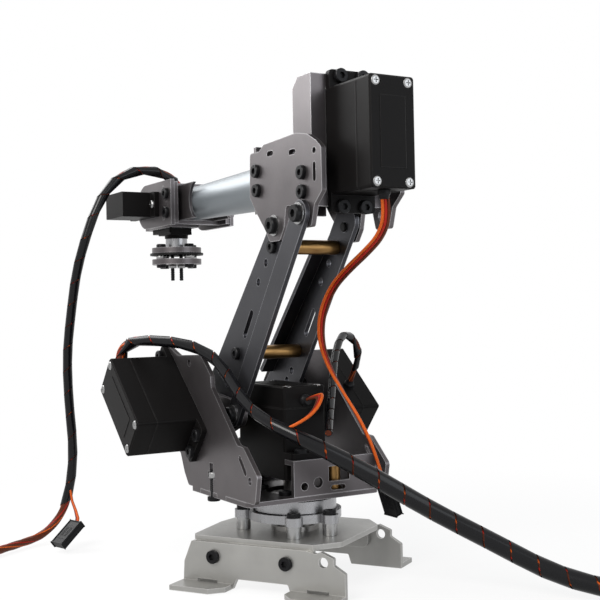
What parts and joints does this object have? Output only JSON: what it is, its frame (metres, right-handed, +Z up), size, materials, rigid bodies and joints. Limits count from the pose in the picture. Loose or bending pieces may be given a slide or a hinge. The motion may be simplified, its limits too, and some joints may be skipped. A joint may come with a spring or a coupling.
{
  "type": "robot arm",
  "caption": "Six-axis hobby robot arm in bent sheet metal with four standard and two micro servos, a parallel link to the elbow, and a round tool flange.",
  "frame": {"origin": "where the turntable axis meets the table under the feet", "axes": "+Z up the turntable axis, +X along the forearm towards the tool, +Y to the left of the arm"},
  "size_m": [0.2787, 0.2604, 0.2019],
  "materials": {
    "silver_sheet": "satin",
    "grey_sheet": "satin",
    "grey_tube": "satin",
    "black_screw": "satin",
    "bearing_steel": "satin",
    "horn_aluminium": "satin",
    "brass": "satin",
    "servo_plastic": "matte",
    "black_plate": "matte",
    "wire_wrap": "matte",
    "lead_wire": "matte",
    "plug_plastic": "matte"
  },
  "bodies": {
    "base": {"base_top_plate": "silver_sheet", "left_foot_plate": "silver_sheet", "right_foot_plate": "silver_sheet", "base_fasteners": "black_screw", "bearing_ring": "bearing_steel", "bearing_balls": "bearing_steel", "drive_post": "horn_aluminium"},
    "turntable": {"bearing_drum": "bearing_steel", "turntable_plate": "grey_sheet", "servo_brackets": "grey_sheet", "left_shoulder_plate": "grey_sheet", "right_shoulder_plate": "grey_sheet", "turntable_fasteners": "black_screw", "base_servo_case": "servo_plastic", "base_servo_cover": "servo_plastic", "left_servo_case": "servo_plastic", "left_servo_cover": "servo_plastic", "right_servo_case": "servo_plastic", "right_servo_cover": "servo_plastic", "main_cord": "wire_wrap", "right_servo_cord": "lead_wire", "base_servo_cord": "lead_wire", "turntable_plugs": "plug_plastic"},
    "crank": {"crank_arm": "grey_sheet", "left_servo_horn": "horn_aluminium", "crank_pins": "black_screw"},
    "link": {"link_bar": "grey_sheet"},
    "lower_arm": {"lower_arm_left_plate": "grey_sheet", "lower_arm_right_plate": "grey_sheet", "shoulder_bush": "brass", "right_servo_horn": "horn_aluminium", "lower_arm_fasteners": "brass", "elbow_cord": "lead_wire"},
    "elbow": {"elbow_left_plate": "grey_sheet", "elbow_right_plate": "grey_sheet", "elbow_front_bracket": "grey_sheet", "forearm_bearing": "bearing_steel", "roll_servo_bracket": "silver_sheet", "elbow_fasteners": "black_screw", "roll_servo_case": "servo_plastic", "roll_servo_cover": "servo_plastic"},
    "forearm": {"forearm_tube": "grey_tube", "roll_servo_horn": "horn_aluminium", "tube_end_bracket": "grey_sheet", "fork_web": "grey_sheet", "fork_left_plate": "grey_sheet", "fork_right_plate": "grey_sheet", "fork_screws": "black_screw", "pitch_servo": "servo_plastic", "wrist_cord": "wire_wrap", "wrist_plug": "plug_plastic"},
    "wrist": {"wrist_cage": "grey_sheet", "pitch_servo_horn": "horn_aluminium", "wrist_screws": "black_screw", "spin_servo": "servo_plastic"},
    "tool": {"tool_hub": "horn_aluminium", "tool_upper_disc": "grey_sheet", "tool_middle_disc": "black_plate", "tool_lower_disc": "grey_sheet", "tool_bolts": "black_screw"}
  },
  "joints": [
    {"name": "turntable_yaw", "type": "hinge", "parent": "base", "child": "turntable", "pos_m": [0, 0, 0.03], "axis": [0, 0, 1], "range_deg": [-90, 90], "deforming": ["wrist_cord", "main_cord"]},
    {"name": "shoulder_pitch", "type": "hinge", "parent": "turntable", "child": "lower_arm", "pos_m": [0.037, 0, 0.0647], "axis": [0, 1, 0], "range_deg": [-15, 60], "deforming": ["wrist_cord", "main_cord", "elbow_cord"]},
    {"name": "elbow_pitch", "type": "hinge", "parent": "lower_arm", "child": "elbow", "pos_m": [-0.021, 0, 0.1445], "axis": [0, 1, 0], "range_deg": [-50, 18], "deforming": ["wrist_cord", "elbow_cord", "main_cord"]},
    {"name": "forearm_roll", "type": "hinge", "parent": "elbow", "child": "forearm", "pos_m": [0, 0, 0.1642], "axis": [1, 0, 0], "range_deg": [-90, 90], "deforming": ["wrist_cord"]},
    {"name": "wrist_pitch", "type": "hinge", "parent": "forearm", "child": "wrist", "pos_m": [0.1199, 0, 0.1642], "axis": [0, -1, 0], "range_deg": [-22, 90], "deforming": ["wrist_cord"]},
    {"name": "tool_spin", "type": "hinge", "parent": "wrist", "child": "tool", "pos_m": [0.116, 0, 0.14], "axis": [0, 0, -1], "range_deg": [-90, 90]},
    {"name": "crank_turn", "type": "hinge", "parent": "lower_arm", "child": "crank", "pos_m": [0.037, 0, 0.0647], "axis": [0, 1, 0], "range_deg": [-50, 18]},
    {"name": "link_turn", "type": "hinge", "parent": "crank", "child": "link", "pos_m": [0.014, 0, 0.0675], "axis": [0, 1, 0], "range_deg": [-18, 50]}
  ],
  "couplings": [
    {"joint": "crank_turn", "follows": "elbow_pitch", "ratio": 1},
    {"joint": "link_turn", "follows": "elbow_pitch", "ratio": -1}
  ]
}
